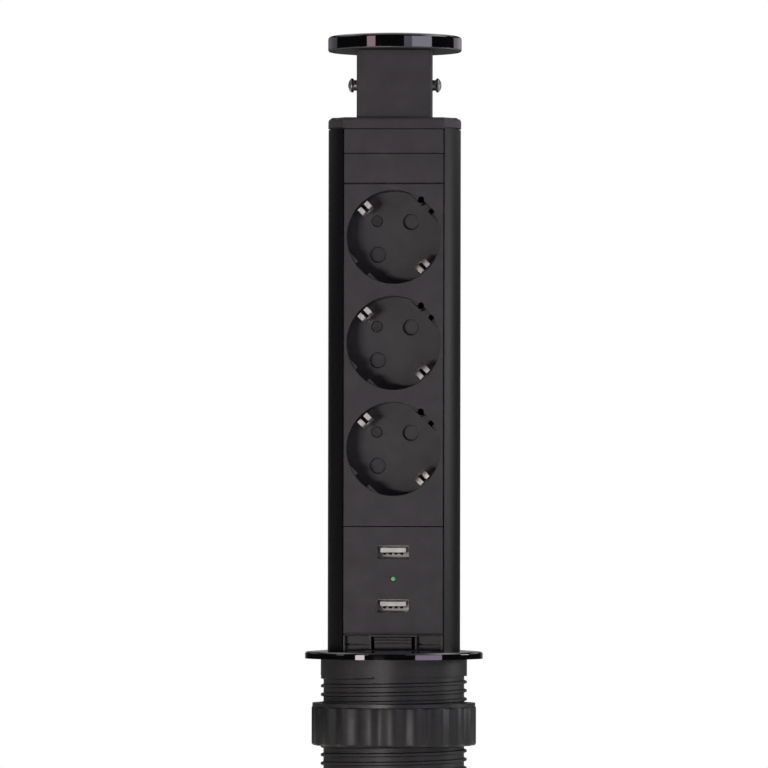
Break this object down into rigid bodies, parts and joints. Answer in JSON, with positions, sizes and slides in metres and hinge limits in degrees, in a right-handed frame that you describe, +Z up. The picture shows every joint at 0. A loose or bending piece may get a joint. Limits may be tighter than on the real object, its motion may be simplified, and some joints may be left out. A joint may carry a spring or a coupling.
{
  "type": "pop up desk socket",
  "caption": "Black round pull-up socket column with earthed mains sockets and charging ports, sliding out of a threaded sleeve that a ring nut clamps in a desk.",
  "frame": {"origin": "on the sleeve's axis at the desk top, the underside of the sleeve's flange", "axes": "+Z up along the column, -Y out of the sockets, +X to the right seen from the front"},
  "size_m": [0.0724, 0.0724, 0.5437],
  "materials": {
    "gloss_black": "polished black moulding",
    "matte_panel": "fine spark-textured black moulding",
    "matte_floor": "smooth matte black moulding",
    "foot_plastic": "matte black moulding",
    "inner_plastic": "plain black moulding",
    "thread_plastic": "matte black moulding",
    "nut_plastic": "matte black moulding with a slight sheen",
    "pale_plastic": "off-white moulding",
    "rubber_black": "moulded black rubber",
    "felt_grey": "pressed felt",
    "zinc_steel": "zinc plated",
    "black_steel": "black oxide",
    "nickel_steel": "nickel plated",
    "spring_steel": "bright drawn wire",
    "button_steel": "dark polished metal",
    "port_steel": "bright stamped shell",
    "anodised_black": "satin black anodised extrusion",
    "contact_brass": "stamped brass",
    "contact_gold": "gold flash",
    "insulation_paper": "fish paper",
    "circuit_board": "green solder mask",
    "green_lens": "clear green lens",
    "winding_yellow": "tape-wound",
    "capacitor_sleeve": "shrink sleeve"
  },
  "bodies": {
    "desk_sleeve": {"bezel_ring": "gloss_black", "threaded_sleeve": "thread_plastic", "desk_gasket": "rubber_black", "wiper_seal": "felt_grey", "tube_end_cap": "thread_plastic", "cord_grommet": "rubber_black"},
    "clamp_washer": {"clamp_washer": "black_steel"},
    "ring_nut": {"ring_nut": "nut_plastic"},
    "tower": {"body_profile": "anodised_black", "top_plate": "matte_panel", "top_plate_screws": "black_steel", "neck": "matte_panel", "lid": "gloss_black", "lid_screws": "zinc_steel", "button_bushes": "nickel_steel", "release_spring": "spring_steel", "head_strip": "matte_panel", "filler_panel": "matte_panel", "socket_panel": "matte_panel", "socket_base_1": "matte_floor", "socket_base_2": "matte_floor", "socket_base_3": "matte_floor", "socket_base_screws": "black_steel", "shutter_springs": "spring_steel", "contact_carrier": "inner_plastic", "carrier_screws": "zinc_steel", "live_bar": "contact_brass", "neutral_bar": "contact_brass", "earth_bar": "nickel_steel", "rear_insulator": "insulation_paper", "terminal_block": "pale_plastic", "terminal_screws": "zinc_steel", "usb_panel": "matte_panel", "usb_shells": "port_steel", "usb_tongues": "pale_plastic", "usb_contacts": "contact_gold", "usb_board": "circuit_board", "usb_board_screws": "zinc_steel", "status_led": "green_lens", "charger_transformer": "winding_yellow", "charger_capacitors": "capacitor_sleeve", "foot_block": "foot_plastic", "foot_screws": "zinc_steel", "guide_pads": "pale_plastic", "cord_bush": "rubber_black", "catch_springs": "spring_steel"},
    "left_button": {"left_button": "button_steel"},
    "right_button": {"right_button": "button_steel"},
    "release_bar": {"release_bar": "zinc_steel"},
    "catch": {"catch": "foot_plastic"},
    "shutter_1": {"shutter_1": "matte_floor"},
    "shutter_2": {"shutter_2": "matte_floor"},
    "shutter_3": {"shutter_3": "matte_floor"}
  },
  "joints": [
    {"name": "tower_lift", "type": "slide", "parent": "desk_sleeve", "child": "tower", "axis": [0, 0, 1], "range_m": [-0.2435, 0]},
    {"name": "nut_travel", "type": "slide", "parent": "desk_sleeve", "child": "clamp_washer", "axis": [0, 0, 1], "range_m": [-0.026, 0.0099]},
    {"name": "nut_spin", "type": "hinge", "parent": "clamp_washer", "child": "ring_nut", "pos_m": [0, 0, -0.0274], "axis": [0, 0, 1], "range_deg": [-2664, 1008]},
    {"name": "release_drop", "type": "slide", "parent": "tower", "child": "release_bar", "axis": [0, 0, -1], "range_m": [0, 0.0012], "stiffness_N_per_m": 900, "springref_m": -0.0015, "deforming": ["release_spring", "catch_springs"]},
    {"name": "left_button_press", "type": "slide", "parent": "tower", "child": "left_button", "axis": [1, 0, 0], "range_m": [0, 0.0012]},
    {"name": "right_button_press", "type": "slide", "parent": "tower", "child": "right_button", "axis": [-1, 0, 0], "range_m": [0, 0.0012]},
    {"name": "catch_retract", "type": "slide", "parent": "tower", "child": "catch", "axis": [0, 1, 0], "range_m": [0, 0.0012]},
    {"name": "shutter_1_turn", "type": "hinge", "parent": "tower", "child": "shutter_1", "pos_m": [0, 0.0032, 0.1712], "axis": [0, -1, 0], "range_deg": [0, 40], "stiffness_Nm_per_rad": 0.0005, "springref_deg": -17.19, "deforming": ["shutter_springs"]},
    {"name": "shutter_2_turn", "type": "hinge", "parent": "tower", "child": "shutter_2", "pos_m": [0, 0.0032, 0.1282], "axis": [0, -1, 0], "range_deg": [0, 40], "stiffness_Nm_per_rad": 0.0005, "springref_deg": -17.19},
    {"name": "shutter_3_turn", "type": "hinge", "parent": "tower", "child": "shutter_3", "pos_m": [0, 0.0032, 0.0852], "axis": [0, -1, 0], "range_deg": [0, 40], "stiffness_Nm_per_rad": 0.0005, "springref_deg": -17.19}
  ],
  "couplings": [
    {"joint": "nut_travel", "follows": "nut_spin", "m_per_rad": 0.00055704},
    {"joint": "left_button_press", "follows": "release_drop", "ratio": 1},
    {"joint": "right_button_press", "follows": "release_drop", "ratio": 1},
    {"joint": "catch_retract", "follows": "release_drop", "ratio": 1}
  ]
}
